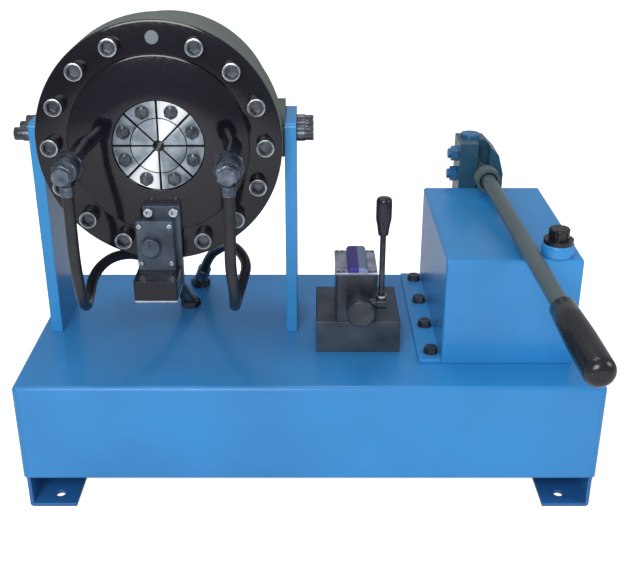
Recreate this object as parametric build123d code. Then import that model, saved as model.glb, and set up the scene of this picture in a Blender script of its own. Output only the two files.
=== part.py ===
from build123d import *

# Manual hydraulic hose crimping machine on a folded sheet-steel base.
#
# Frame: millimetres, +X to the right, +Y to the back, +Z up. The origin is on the floor, at the
# middle of the four fixing holes in the foot rails.
# Places are written as (x, y, z) with x from the middle of the base, y from its front edge and
# z from its top face; ON_BASE moves them into the frame. The die head's pieces are written about
# the die axis instead, and ON_HEAD moves them.
import math
import os

# ---------------------------------------------------------------- driving dimensions
# Base pan and foot rails
BASE_W = 800
BASE_D = 375
PAN_H = 145
PAN_T = 3
PAN_BEND_R = 7
FOOT_H = 54
RAIL_W = 66
RAIL_T = 5
RAIL_LAP = 30
FOOT_HOLE_D = 14
FOOT_HOLE_IN = 38
FOOT_HOLE_END = 28

# Die head
HEAD_X = -200
HEAD_Z = 297
HEAD_Y = 126
FLANGE_R = 164
FLANGE_T = 40
BOSS_R = 121
BOSS_H = 4
RIM_CHAMFER = 2
BODY_FLANGE_T = 24
BODY_R = 148
BODY_L = 108
CYLINDER_R = 100
CONE_RING_R = 110
RIM_GROOVE_W = 3
RIM_GROOVE_H = 6
REAR_COVER_T = 24
PAD_H = 60

# Side plates
PLATE_T = 16
PLATE_D = 102
PLATE_H = 316
PLATE_Y = 163
PLATE_CLEARANCE = 2
SIDE_SCREW_PITCH = 32
SIDE_SCREW_PROUD = 12
SIDE_SCREW_L = 40

# Dies, shoes and ram
DIE_COUNT = 8
DIE_BORE_R = 7
DIE_R = 37.4
DIE_GAP = 1.2
SEAT_CLEARANCE = 0.1
SHOE_NOSE_R = 61
SHOE_GAP = 2
SHOE_L = 72
NOSE_L = 8
DIE_RECESS = 2
LIP_CLEARANCE = 1.5
CONE_SLOPE = 0.25
RUNNING_GAP = 0.3
RAM_TRAVEL = 48
RAM_T = 26
RAM_TAIL_R = 65
RAM_BORE_R = 45
RAM_TAIL_L = 84
FIT = 0.05
TENON_W = 10
TENON_NECK = 5
TENON_HEAD_W = 16
TENON_HEAD = 6
TENON_IN = 52
TENON_L = 24
SEAL_W = 6
SEAL_DEPTH = 5
SPRING_R = 4
SPRING_WIRE = 1.5
SPRING_SEAT = 16
SPRING_RADIUS = 66
SPRING_Y = 58

# Screws: thread diameter, head diameter, head height, socket width
M16 = (16, 24, 16, 14)
M12 = (12, 18, 12, 10)
M10 = (10, 16, 6.4, 0)
M8 = (8, 13, 8, 6)
M6 = (6, 10, 6, 5)
M4 = (4, 7, 4, 3)
HOLE_PLAY = 1.5
FLANGE_SCREW_IN = 22
FLANGE_SCREWS = 16
FLANGE_SCREW_L = 60
COVER_SCREW_IN = 24
COVER_SCREWS = 8
COVER_SCREW_L = 44
PLUG_D = 15

# Ports and hoses
PORT_X = 100
PORT_SPIGOT_R = 8
PORT_SPIGOT_L = 18
PIPE_R = 11
PIPE_L = 94
COLLAR_R = 20.5
COLLAR_T = 8
BANJO_R = 15
BANJO_T = 18
BANJO_STEM_R = 6.5
BANJO_STEM_L = 4
BANJO_BOLT_R = 8
BANJO_HEAD_W = 24
BANJO_HEAD_T = 20
NIPPLE_L = 14
HOSE_D = 15
HOSE_NUT_W = 27
HOSE_NUT_T = 10
FERRULE_L = 34

# Crimp stop on the head's face
STOP_BRACKET = (50, 12, 117)
STOP_BLOCK = (51, 16, 71)
STOP_BLOCK_X = -8
STOP_BOX = (58, 55, 30)
STOP_BOX_X = -6
STOP_TOP = 217
STOP_KNOB_R = 13.5
STOP_KNOB_T = 9
STOP_SHAFT_R = 4

# Directional valve
MANIFOLD = (118, 119, 48)
MANIFOLD_X = 69
MANIFOLD_Y = 100
VALVE = (57, 82, 72)
VALVE_X = 65.5
VALVE_PLATE_T = 3
RIDGE_W = 28
RIDGE_H = 7
SPOOL_X = 70
SPOOL_Z = 78
SPOOL_R = 8
SPOOL_L = 60
END_CAP_R = 19.25
END_CAP_L = 38
END_CAP_WALL = 4.25
LEVER_ABOVE_SPOOL = 10
LEVER_SHAFT_R = 3
LEVER_Y = 20
LEVER_HUB_R = 9
LEVER_HUB_L = 13
LEVER_ROD_R = 4
LEVER_ROD_L = 100
LEVER_KNOB_R = 10.5
LEVER_KNOB_FOOT_R = 7
LEVER_KNOB_L = 52
LEVER_SWING = 18

# Oil tank, filler and hand pump
TANK = (184, 296, 157)
TANK_X = 275
TANK_Y = 66
TANK_WALL = 3
TANK_BEND_R = 4
TANK_FLANGE_W = 31
TANK_FLANGE_T = 6
TANK_SCREWS = 4
WASHER_T = 2
NECK_X = 334
NECK_Y = 87
NECK_R = 21.5
NECK_BORE_R = 16
NECK_H = 17
CAP_R = 20
CAP_FLANGE_T = 6
CAP_GRIP_R = 14
CAP_GRIP_H = 15
CAP_SPIGOT_L = 12
PUMP_DEPTH = 64
PUMP_LEFT = 238
PUMP_RIGHT = 308
PUMP_BOTTOM = 92
PUMP_TOP = 228
SLOT_W = 19
SLOT_DEPTH = 28
SLOT_FLOOR = 156
FULCRUM_X = 276
FULCRUM_Z = 170
FULCRUM_INSET = 10
FULCRUM_PIN_R = 5
NOSE_RADIUS = 6
CRANK = 16
LUG_R = 11
PLUNGER_R = 6
PLUNGER_L = 30
PUMP_SWING = 40
SIDE_PLUG_W = 22
SIDE_PLUG_T = 10
SIDE_PLUG_STEP = 5
SIDE_PLUG_PITCH = 34
TOP_PLUG_R = 15
TOP_PLUG_T = 5
SOCKET_FRONT = (276, 308, 185.5)
SOCKET_R = 19
SOCKET_BORE_R = 14
SOCKET_L = 18
HANDLE_R = 11
HANDLE_L = 400
HANDLE_WALL = 2
GRIP_R = 18.5
GRIP_NECK_R = 16
GRIP_L = 150
HANDLE_END = (306, -245, 158)

os.makedirs("parts", exist_ok=True)
PLATE_GAP = 2 * (FLANGE_R + PLATE_CLEARANCE)
FLANGE_SCREW_CIRCLE_R = FLANGE_R - FLANGE_SCREW_IN
COVER_SCREW_CIRCLE_R = BODY_R - COVER_SCREW_IN
FRONT = -BASE_D / 2
TOP = FOOT_H + PAN_H
ON_BASE = Pos(0, FRONT, TOP)
ON_HEAD = Pos(HEAD_X, FRONT, TOP + HEAD_Z)
HALF_STEP = 180 / DIE_COUNT


# ---------------------------------------------------------------- small helpers
def block(x, y, z):
    """A box between the two ends given for each axis."""
    size = [abs(b - a) for a, b in (x, y, z)]
    middle = [(a + b) / 2 for a, b in (x, y, z)]
    return Pos(*middle) * Box(*size)


def rod(start, direction, radius, length):
    """A cylinder from a start point along a direction."""
    plane = Plane(origin=start, z_dir=direction)
    return plane * Cylinder(radius, length, align=(Align.CENTER, Align.CENTER, Align.MIN))


def rod_y(x, z, y0, y1, radius):
    """A cylinder along Y from y0 to y1."""
    return rod((x, y0, z), (0, 1, 0), radius, y1 - y0)


def hex_bar(start, direction, width, length):
    """A hexagonal bar, width across its flats."""
    plane = Plane(origin=start, z_dir=direction)
    return plane * extrude(RegularPolygon(width / 2, 6, major_radius=False), length)


def socket_screw(seat, direction, size, length):
    """A cap screw whose head stands on seat; direction points out of the head."""
    thread, head, height, socket = size
    out = Vector(*direction).normalized()
    seat = Vector(*seat)
    screw = rod(seat, out, head / 2, height)
    screw = chamfer(screw.edges().filter_by(GeomType.CIRCLE).sort_by(Axis(seat, out))[-1], height / 12)
    screw += rod(seat, -out, thread / 2, length)
    return screw - hex_bar(seat + out * (height * 0.4), out, socket, height)


def hex_screw(seat, direction, size, length):
    """A hexagon-head screw whose head stands on seat."""
    thread, width, height, _ = size
    out = Vector(*direction).normalized()
    return hex_bar(seat, out, width, height) + rod(seat, -out, thread / 2, length)


def write(node, solids, place=None):
    """Write one node's solids, moved to their place, to its STEP file."""
    solids = solids if isinstance(solids, list) else [solids]
    if place is not None:
        solids = [place * solid for solid in solids]
    flat = [piece for solid in solids for piece in solid.solids()]
    export_step(flat[0] if len(flat) == 1 else Compound(flat), f"parts/{node}.step")


# ---------------------------------------------------------------- base
# The pan is welded up from five sheets: a top, a front, a back and two ends with turned edges.
pan = fillet(block((-BASE_W / 2, BASE_W / 2), (0, BASE_D), (-PAN_H, 0)).edges().filter_by(Axis.Z), PAN_BEND_R)
pan = fillet(pan.faces().sort_by(Axis.Z)[-1].edges(), PAN_BEND_R - 0.5)
hollow = block((PAN_T - BASE_W / 2, BASE_W / 2 - PAN_T), (PAN_T, BASE_D - PAN_T), (-PAN_H - 1, -PAN_T))
hollow = fillet(hollow.edges().filter_by(Axis.Z), PAN_BEND_R - PAN_T)
pan -= hollow
everywhere = (-BASE_W, BASE_W)
between_bends = (PAN_BEND_R - BASE_W / 2, BASE_W / 2 - PAN_BEND_R)
pan_walls = pan & block(everywhere, everywhere, (-PAN_H, -PAN_T))
long_walls = pan_walls & block(between_bends, everywhere, (-PAN_H, 0))
end_walls = pan_walls - block(between_bends, everywhere, (-PAN_H - 1, 1))
pan = pan & block(everywhere, everywhere, (-PAN_T, 0))

RAIL_OUT = BASE_W / 2 - PAN_T
RAIL_ENDS = (PAN_BEND_R, BASE_D - PAN_BEND_R)
for side, name in ((-1, "left"), (1, "right")):
    outer = side * RAIL_OUT
    leg = block((outer, outer - side * RAIL_T), RAIL_ENDS, (RAIL_LAP - PAN_H, -TOP))
    foot = block((outer, outer - side * RAIL_W), RAIL_ENDS, (-TOP, RAIL_T - TOP))
    rail = leg + foot
    corner = rail.edges().filter_by(Axis.Y).sort_by(Axis.Z)
    corner = [edge for edge in corner[:3] if abs(edge.center().X - outer) < 0.1]
    rail = fillet(corner, RAIL_T)
    for y in (FOOT_HOLE_END + PAN_T, BASE_D - PAN_T - FOOT_HOLE_END):
        hole_x = outer - side * FOOT_HOLE_IN
        rail -= rod((hole_x, y, -TOP - 1), (0, 0, 1), FOOT_HOLE_D / 2, RAIL_T + 2)
    write(f"foot_rail_{name}", rail, ON_BASE)

# ---------------------------------------------------------------- side plates
SIDE_SCREW_Y = [PLATE_Y + PLATE_D / 2 + step * SIDE_SCREW_PITCH for step in (-1, 0, 1)]
screws = []
for side, name in ((-1, "left"), (1, "right")):
    inner = HEAD_X + side * PLATE_GAP / 2
    outer = inner + side * PLATE_T
    plate = block((inner, outer), (PLATE_Y, PLATE_Y + PLATE_D), (0, PLATE_H))
    plate = fillet(plate.edges().filter_by(Axis.X).sort_by(Axis.Z)[-2:], 6)
    for y in SIDE_SCREW_Y:
        plate -= rod((inner - side, y, HEAD_Z), (side, 0, 0), (M12[0] + HOLE_PLAY) / 2, PLATE_T + 2)
        head = socket_screw((outer + side * SIDE_SCREW_PROUD, y, HEAD_Z), (side, 0, 0), M12, SIDE_SCREW_L)
        collar = rod((outer, y, HEAD_Z), (side, 0, 0), M12[1] / 2 + 1, SIDE_SCREW_PROUD)
        screws += [head, collar - rod((outer - side, y, HEAD_Z), (side, 0, 0), M12[0] / 2, SIDE_SCREW_PROUD + 2)]
    write(f"side_plate_{name}", plate, ON_BASE)
write("side_plate_screws", screws, ON_BASE)

# ---------------------------------------------------------------- die head
BOSS_Y = HEAD_Y - BOSS_H
FLANGE_END = HEAD_Y + FLANGE_T
BODY_END = FLANGE_END + BODY_L
COVER_END = BODY_END + REAR_COVER_T
DIE_Y = BOSS_Y + DIE_RECESS
NOSE_END = DIE_Y + NOSE_L
SHOE_END = DIE_Y + SHOE_L
CONE_END = SHOE_END
CONE_ANGLE = math.degrees(math.atan(CONE_SLOPE))


def cone_flat(y):
    """Distance from the die axis to the shoes' outer flats at depth y."""
    return SHOE_NOSE_R + (y - DIE_Y) * CONE_SLOPE


def octagon_cone(y0, y1, clearance):
    """The eight-sided cone of the shoes' outer flats, from y0 to y1, grown by a clearance."""
    wide = Plane(origin=(0, y1, 0), x_dir=(1, 0, 0), z_dir=(0, -1, 0))
    face = wide * RegularPolygon(cone_flat(y1) + clearance, DIE_COUNT, major_radius=False)
    return extrude(face, y1 - y0, taper=CONE_ANGLE)


def round_cone(y0, y1, clearance):
    """The round cone of the shoes' noses, from y0 to y1, grown by a clearance."""
    plane = Plane(origin=(0, y0, 0), z_dir=(0, 1, 0))
    radii = (cone_flat(y0) + clearance, cone_flat(y1) + clearance)
    return plane * Cone(*radii, y1 - y0, align=(Align.CENTER, Align.CENTER, Align.MIN))


def around(count, solid, first=0):
    """Copies of a solid, evenly spaced about the die axis."""
    return [Rot(0, first + index * 360 / count, 0) * solid for index in range(count)]


SCREW_STEP = 360 / FLANGE_SCREWS
flange = rod_y(0, 0, HEAD_Y, FLANGE_END, FLANGE_R)
flange = chamfer(flange.edges().sort_by(Axis.Y)[0], RIM_CHAMFER)
flange += rod_y(0, 0, BOSS_Y, HEAD_Y, BOSS_R)
flange -= round_cone(BOSS_Y - 1, NOSE_END + LIP_CLEARANCE, LIP_CLEARANCE)
flange -= octagon_cone(NOSE_END, FLANGE_END + 1, RUNNING_GAP)
screw_hole = rod_y(FLANGE_SCREW_CIRCLE_R, 0, HEAD_Y - 1, FLANGE_END + 1, (M16[0] + HOLE_PLAY) / 2)
for hole in around(FLANGE_SCREWS, screw_hole):
    flange -= hole
for side in (-1, 1):
    flange -= rod_y(side * PORT_X, 0, BOSS_Y - 1, BOSS_Y + PORT_SPIGOT_L + 1, PORT_SPIGOT_R + FIT)
write("head_front_plate", flange, ON_HEAD)

cone_ring = rod_y(0, 0, FLANGE_END, CONE_END, CONE_RING_R)
cone_ring -= octagon_cone(FLANGE_END - 1, CONE_END + 1, RUNNING_GAP)
write("cone_ring", cone_ring, ON_HEAD)

body = rod_y(0, 0, FLANGE_END, FLANGE_END + BODY_FLANGE_T, FLANGE_R)
body -= rod_y(0, 0, FLANGE_END - 1, FLANGE_END + RIM_GROOVE_W, FLANGE_R + 1)
body += rod_y(0, 0, FLANGE_END, FLANGE_END + RIM_GROOVE_W + 1, FLANGE_R - RIM_GROOVE_H)
body += rod_y(0, 0, FLANGE_END + RIM_GROOVE_W, BODY_END, BODY_R)
PAD_ENDS = (PLATE_Y + 7, PLATE_Y + PLATE_D - 3)
SIDE_THREAD_L = SIDE_SCREW_L - SIDE_SCREW_PROUD - PLATE_T + 3
for side in (-1, 1):
    body += block((side * BODY_R / 2, side * PLATE_GAP / 2), PAD_ENDS, (-PAD_H / 2, PAD_H / 2))
body -= rod_y(0, 0, FLANGE_END - 1, CONE_END + FIT, CONE_RING_R + FIT)
body -= rod_y(0, 0, CONE_END - 1, BODY_END + 1, CYLINDER_R)
tapped = rod_y(FLANGE_SCREW_CIRCLE_R, 0, FLANGE_END - 1, HEAD_Y + FLANGE_SCREW_L + 2, M16[0] / 2 + FIT)
for hole in around(FLANGE_SCREWS, tapped):
    body -= hole
cover_hole = rod_y(COVER_SCREW_CIRCLE_R, 0, COVER_END - COVER_SCREW_L - 3, BODY_END + 1, M12[0] / 2 + FIT)
for hole in around(COVER_SCREWS, cover_hole, 180 / COVER_SCREWS):
    body -= hole
for side in (-1, 1):
    for y in SIDE_SCREW_Y:
        body -= rod((side * (PLATE_GAP / 2 + 1), y, 0), (-side, 0, 0), M12[0] / 2 + FIT, SIDE_THREAD_L)
write("head_body", body, ON_HEAD)

cover = rod_y(0, 0, BODY_END, COVER_END, BODY_R)
cover = chamfer(cover.edges().sort_by(Axis.Y)[-1], RIM_CHAMFER)
cover -= rod_y(0, 0, BODY_END - 1, COVER_END + 1, RAM_TAIL_R + FIT)
cover_hole = rod_y(COVER_SCREW_CIRCLE_R, 0, BODY_END - 1, COVER_END + 1, (M12[0] + HOLE_PLAY) / 2)
for hole in around(COVER_SCREWS, cover_hole, 180 / COVER_SCREWS):
    cover -= hole
write("head_rear_cover", cover, ON_HEAD)

cap_screw = socket_screw((FLANGE_SCREW_CIRCLE_R, HEAD_Y, 0), (0, -1, 0), M16, FLANGE_SCREW_L)
plug = rod_y(FLANGE_SCREW_CIRCLE_R, 0, HEAD_Y - 2, HEAD_Y + FLANGE_SCREW_L, M16[0] / 2)
plug += rod_y(FLANGE_SCREW_CIRCLE_R, 0, HEAD_Y - 2, HEAD_Y, (M16[0] + HOLE_PLAY) / 2)
TOP_POSITION = FLANGE_SCREWS * 3 // 4
LOW_POSITION = FLANGE_SCREWS // 4
positions = [index for index in range(FLANGE_SCREWS) if index not in (TOP_POSITION, LOW_POSITION)]
write("flange_screws", [Rot(0, index * SCREW_STEP, 0) * cap_screw for index in positions], ON_HEAD)
write("flange_plug", Rot(0, TOP_POSITION * SCREW_STEP, 0) * plug, ON_HEAD)
cover_screw = socket_screw((COVER_SCREW_CIRCLE_R, COVER_END, 0), (0, 1, 0), M12, COVER_SCREW_L)
write("rear_cover_screws", around(COVER_SCREWS, cover_screw, 180 / COVER_SCREWS), ON_HEAD)

# ---------------------------------------------------------------- dies, shoes and ram
SIN = math.sin(math.radians(HALF_STEP))
COS = math.cos(math.radians(HALF_STEP))


def wedge(gap, y0, y1):
    """One sector between two planes through the die axis, less half a gap on each flank."""
    tip = gap / 2 / SIN
    reach = 2 * FLANGE_R
    corners = [(tip, 0, 0), (tip + reach * COS, 0, reach * SIN), (tip + reach * COS, 0, -reach * SIN)]
    outline = make_face(Polyline(*[Vector(x, y0, z) for x, _, z in corners], close=True))
    return extrude(outline, y1 - y0, dir=(0, 1, 0))


shoe = Rot(0, HALF_STEP, 0) * octagon_cone(NOSE_END, SHOE_END, 0) & wedge(SHOE_GAP, NOSE_END, SHOE_END)
shoe += round_cone(DIE_Y, NOSE_END, 0) & wedge(SHOE_GAP, DIE_Y, NOSE_END)
shoe -= rod_y(0, 0, DIE_Y - 1, SHOE_END + 1, DIE_R + SEAT_CLEARANCE)
TENON_X = (TENON_IN, TENON_IN + TENON_L)
shoe += block(TENON_X, (SHOE_END, SHOE_END + TENON_NECK), (-TENON_W / 2, TENON_W / 2))
tenon_head_y = (SHOE_END + TENON_NECK, SHOE_END + TENON_NECK + TENON_HEAD)
shoe += block(TENON_X, tenon_head_y, (-TENON_HEAD_W / 2, TENON_HEAD_W / 2))
LOCK_X = (DIE_R + SHOE_NOSE_R) / 2
lock_screw = hex_screw((LOCK_X, DIE_Y, 0), (0, -1, 0), M10, 24)
shoe -= rod_y(LOCK_X, 0, DIE_Y - 1, DIE_Y + 25, M10[0] / 2 + FIT)
# A return spring lies in a pocket in one flank and pushes on the next shoe.
flank = Vector(COS, 0, SIN) * SPRING_RADIUS + Vector(0, DIE_Y + SPRING_Y, 0)
inward = Vector(SIN, 0, -COS)
shoe -= rod(flank, inward, SPRING_R + 0.2, SHOE_GAP / 2 + SPRING_SEAT)
spring_start = flank - inward * (SHOE_GAP / 2 - RUNNING_GAP)
spring_length = SHOE_GAP + SPRING_SEAT - RUNNING_GAP
spring = rod(spring_start, inward, SPRING_R, spring_length)
spring -= rod(spring_start, inward, SPRING_R - SPRING_WIRE, spring_length)

die = rod_y(0, 0, DIE_Y, SHOE_END, DIE_R) & wedge(DIE_GAP, DIE_Y, SHOE_END)
die -= rod_y(0, 0, DIE_Y - 1, SHOE_END + 1, DIE_BORE_R)

for index in range(DIE_COUNT):
    turn = Rot(0, HALF_STEP + index * 2 * HALF_STEP, 0)
    write(f"die_shoe_{index + 1}", [turn * piece for piece in (shoe, lock_screw, spring)], ON_HEAD)
    write(f"die_{index + 1}", turn * die, ON_HEAD)

RAM_Y = SHOE_END + RUNNING_GAP
ram = rod_y(0, 0, RAM_Y, RAM_Y + RAM_T, CYLINDER_R - FIT)
ram += rod_y(0, 0, RAM_Y + RAM_T, RAM_Y + RAM_T + RAM_TAIL_L, RAM_TAIL_R)
ram -= rod_y(0, 0, RAM_Y - 1, RAM_Y + RAM_T + RAM_TAIL_L + 1, RAM_BORE_R)
slot_x = (TENON_IN - 2, CYLINDER_R + 2)
slot = block(slot_x, (RAM_Y - 1, SHOE_END + TENON_NECK), (-TENON_W / 2 - RUNNING_GAP, TENON_W / 2 + RUNNING_GAP))
slot_head_y = (SHOE_END + TENON_NECK - RUNNING_GAP, SHOE_END + TENON_NECK + TENON_HEAD + RUNNING_GAP)
half_head = TENON_HEAD_W / 2 + RUNNING_GAP
slot += block(slot_x, slot_head_y, (-half_head, half_head))
for cut in around(DIE_COUNT, slot, HALF_STEP):
    ram -= cut
seal_y = (RAM_Y + RAM_T - SEAL_W - 3, RAM_Y + RAM_T - 3)
seal_ring = rod_y(0, 0, *seal_y, CYLINDER_R - FIT) - rod_y(0, 0, *seal_y, CYLINDER_R - SEAL_DEPTH)
ram -= rod_y(0, 0, *seal_y, CYLINDER_R + 1) - rod_y(0, 0, *seal_y, CYLINDER_R - SEAL_DEPTH)
write("ram", ram, ON_HEAD)
write("ram_seal", seal_ring, ON_HEAD)

# ---------------------------------------------------------------- ports and hoses
pipes, banjos, bolts = [], [], []
PIPE_Y = BOSS_Y - PIPE_L
BANJO_Y = PIPE_Y - BANJO_T
for side in (-1, 1):
    x = side * PORT_X
    pipe = rod_y(x, 0, PIPE_Y, BOSS_Y, PIPE_R) + rod_y(x, 0, PIPE_Y, PIPE_Y + COLLAR_T, COLLAR_R)
    pipe += rod_y(x, 0, BOSS_Y, BOSS_Y + PORT_SPIGOT_L, PORT_SPIGOT_R)
    pipes.append(pipe - rod_y(x, 0, PIPE_Y - 1, PIPE_Y + BANJO_T + 1, BANJO_BOLT_R + FIT))
    banjo = rod_y(x, 0, BANJO_Y, PIPE_Y, BANJO_R)
    stem_top = (x, BANJO_Y + BANJO_T / 2, 0)
    banjo += rod(stem_top, (0, 0, -1), BANJO_STEM_R, BANJO_R + BANJO_STEM_L)
    ferrule_top = (x, BANJO_Y + BANJO_T / 2, -BANJO_R - BANJO_STEM_L)
    banjo += rod(ferrule_top, (0, 0, -1), BANJO_T / 2 - 0.2, NIPPLE_L)
    banjos.append(banjo - rod_y(x, 0, BANJO_Y - 1, PIPE_Y + 1, BANJO_BOLT_R + FIT))
    bolt_seat = (x, BANJO_Y, 0)
    bolt = hex_bar(bolt_seat, (0, -1, 0), BANJO_HEAD_W, BANJO_HEAD_T * 0.7)
    bolt += rod((x, BANJO_Y - BANJO_HEAD_T * 0.7, 0), (0, -1, 0), BANJO_HEAD_W / 2 - 1, BANJO_HEAD_T * 0.3)
    bolts.append(bolt + rod(bolt_seat, (0, 1, 0), BANJO_BOLT_R, BANJO_T * 2))
write("port_pipes", pipes, ON_HEAD)
write("banjo_fittings", banjos, ON_HEAD)
write("banjo_bolts", bolts, ON_HEAD)

# Two hose ends stand on the base behind the head, each a nut with its ferrule bent towards the
# hose; their pipes run on below the base's top.
HOSE_ENDS = {
    "left": ((-186, 254), Vector(-0.48, -0.25, 0.84).normalized()),
    "right": ((-178, 330), Vector(0.28, -0.46, 0.84).normalized()),
}
ends = []
FERRULE_FOOT_Z = HOSE_NUT_T - 2
for (x, y), lean in HOSE_ENDS.values():
    nut = hex_bar((x, y, 0), (0, 0, 1), HOSE_NUT_W, HOSE_NUT_T)
    ends.append(nut + rod((x, y, FERRULE_FOOT_Z), lean, HOSE_D * 0.7, FERRULE_L))
write("base_hose_ends", ends, ON_BASE)


def hose(node, points):
    """A hose through hand-chosen points: straight runs joined by the largest tangent arcs."""
    points = [Vector(*point) for point in points]
    runs = [after - before for before, after in zip(points, points[1:])]
    radii = []
    for run, following in zip(runs, runs[1:]):
        half_turn = math.radians(run.get_angle(following)) / 2
        radii.append(0.45 * min(run.length, following.length) / math.tan(half_turn))
    path = FilletPolyline(*points, radius=radii)
    section = Plane(origin=points[0], z_dir=runs[0]) * Circle(HOSE_D / 2)
    tube = sweep(section, path=path)
    expected = math.pi * HOSE_D ** 2 / 4 * path.length
    print(node, "length", round(path.length), "radii", [round(radius) for radius in radii],
          "volume ratio", round(tube.volume / expected, 4))
    write(node, tube, ON_BASE)


def end_of(side, ahead):
    """A point on a ferrule's line, a distance ahead of its mouth."""
    (x, y), lean = HOSE_ENDS[side]
    return tuple(Vector(x, y, FERRULE_FOOT_Z) + lean * (FERRULE_L + ahead))


hose("hose_left", [
    (-300, 19, 264), (-300, 19, 219), (-299, 15, 172.5), (-297.5, 24, 123), (-302, 60.5, 89),
    (-308.5, 109, 81.5), (-309.5, 150.5, 98.5), (-292.5, 183.5, 110), (-266.5, 212, 106),
    (-239.5, 229.5, 89.5), end_of("left", 35), end_of("left", 0),
])
hose("hose_right", [
    (-100, 19, 264), (-100, 19, 212), (-102, 23, 166), (-98, 33.5, 122), (-101.5, 64, 88),
    (-102.5, 108, 75.5), (-96.5, 150.5, 86.5), (-91, 190.5, 96), (-105, 226, 105),
    (-123.5, 256, 102), (-137.5, 281.5, 86), end_of("right", 34), end_of("right", 0),
])

# ---------------------------------------------------------------- crimp stop
BRACKET_Y = BOSS_Y - STOP_BRACKET[1]
BLOCK_Y = BRACKET_Y - STOP_BLOCK[1]
STOP_BOTTOM = STOP_TOP - STOP_BRACKET[2]
BLOCK_BOTTOM = STOP_BOTTOM + STOP_BOX[2]
BLOCK_TOP = BLOCK_BOTTOM + STOP_BLOCK[2]
bracket_x = (HEAD_X - STOP_BRACKET[0] / 2, HEAD_X + STOP_BRACKET[0] / 2)
bracket = block(bracket_x, (BRACKET_Y, BOSS_Y), (STOP_BOTTOM, STOP_TOP))
stop_screws = []
for side in (-1, 1):
    x = HEAD_X + side * (STOP_BRACKET[0] / 2 - 8)
    bracket -= rod_y(x, STOP_TOP - 7, BRACKET_Y - 1, BOSS_Y + 1, M8[0] / 2 + FIT)
    stop_screws.append(socket_screw((x, BRACKET_Y, STOP_TOP - 7), (0, -1, 0), M8, STOP_BRACKET[1]))
block_mid = HEAD_X + STOP_BLOCK_X
block_x = (block_mid - STOP_BLOCK[0] / 2, block_mid + STOP_BLOCK[0] / 2)
stop_block = block(block_x, (BLOCK_Y, BRACKET_Y), (BLOCK_BOTTOM, BLOCK_TOP))
stop_block = chamfer(stop_block.edges().filter_by(Axis.Z).group_by(Axis.Y)[0], 1.5)
for x in (block_x[0] + 5, block_x[1] - 5):
    for z in (BLOCK_BOTTOM + 11, BLOCK_TOP - 6):
        stop_block -= rod_y(x, z, BLOCK_Y - 1, BRACKET_Y + 1, M4[0] / 2 + FIT)
        stop_screws.append(socket_screw((x, BLOCK_Y, z), (0, -1, 0), M4, STOP_BLOCK[1]))
knob_x = block_mid - STOP_BLOCK[0] / 8
knob_z = (BLOCK_BOTTOM + BLOCK_TOP) / 2
stop_block -= rod_y(knob_x, knob_z, BLOCK_Y - 1, BRACKET_Y + 1, STOP_SHAFT_R + FIT)
KNOB_FRONT = BLOCK_Y - RUNNING_GAP - STOP_KNOB_T
knob = rod_y(knob_x, knob_z, KNOB_FRONT, BLOCK_Y - RUNNING_GAP, STOP_KNOB_R)
knob = chamfer(knob.edges().sort_by(Axis.Y)[0], 1)
knob -= block((knob_x - 1, knob_x + 1), (KNOB_FRONT - 1, KNOB_FRONT + 1.5), (knob_z, knob_z + STOP_KNOB_R * 0.8))
knob += rod_y(knob_x, knob_z, BLOCK_Y - RUNNING_GAP, BRACKET_Y - RUNNING_GAP, STOP_SHAFT_R)
box_mid = HEAD_X + STOP_BOX_X
box_x = (box_mid - STOP_BOX[0] / 2, box_mid + STOP_BOX[0] / 2)
stop_box = block(box_x, (BRACKET_Y - STOP_BOX[1], BRACKET_Y), (STOP_BOTTOM, BLOCK_BOTTOM))
stop_box = fillet(stop_box.edges().filter_by(Axis.Z).group_by(Axis.Y)[0], 3)
write("stop_bracket", bracket, ON_BASE)
write("stop_block", stop_block, ON_BASE)
write("stop_screws", stop_screws, ON_BASE)
write("stop_knob", knob, ON_BASE)
write("stop_box", stop_box, ON_BASE)

# ---------------------------------------------------------------- directional valve
MANIFOLD_END = MANIFOLD_Y + MANIFOLD[1]
manifold_x = (MANIFOLD_X - MANIFOLD[0] / 2, MANIFOLD_X + MANIFOLD[0] / 2)
manifold = block(manifold_x, (MANIFOLD_Y, MANIFOLD_END), (0, MANIFOLD[2]))
manifold = chamfer(manifold.edges().group_by(Axis.Z)[-1], 1)
write("valve_manifold", manifold, ON_BASE)

VALVE_TOP = MANIFOLD[2] + VALVE[2]
valve_x = (VALVE_X - VALVE[0] / 2, VALVE_X + VALVE[0] / 2)
valve_y = (MANIFOLD_Y, MANIFOLD_Y + VALVE[1])
valve = block(valve_x, valve_y, (MANIFOLD[2], VALVE_TOP))
valve = fillet(valve.edges().filter_by(Axis.Z), 4)
SPOOL_Y = MANIFOLD_Y - 1.5 - LEVER_Y + 2
SPOOL_PLAY = 4
valve -= rod_y(SPOOL_X, SPOOL_Z, MANIFOLD_Y - 1, SPOOL_Y + SPOOL_L + SPOOL_PLAY, SPOOL_R + FIT)
write("valve_body", valve, ON_BASE)

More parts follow.
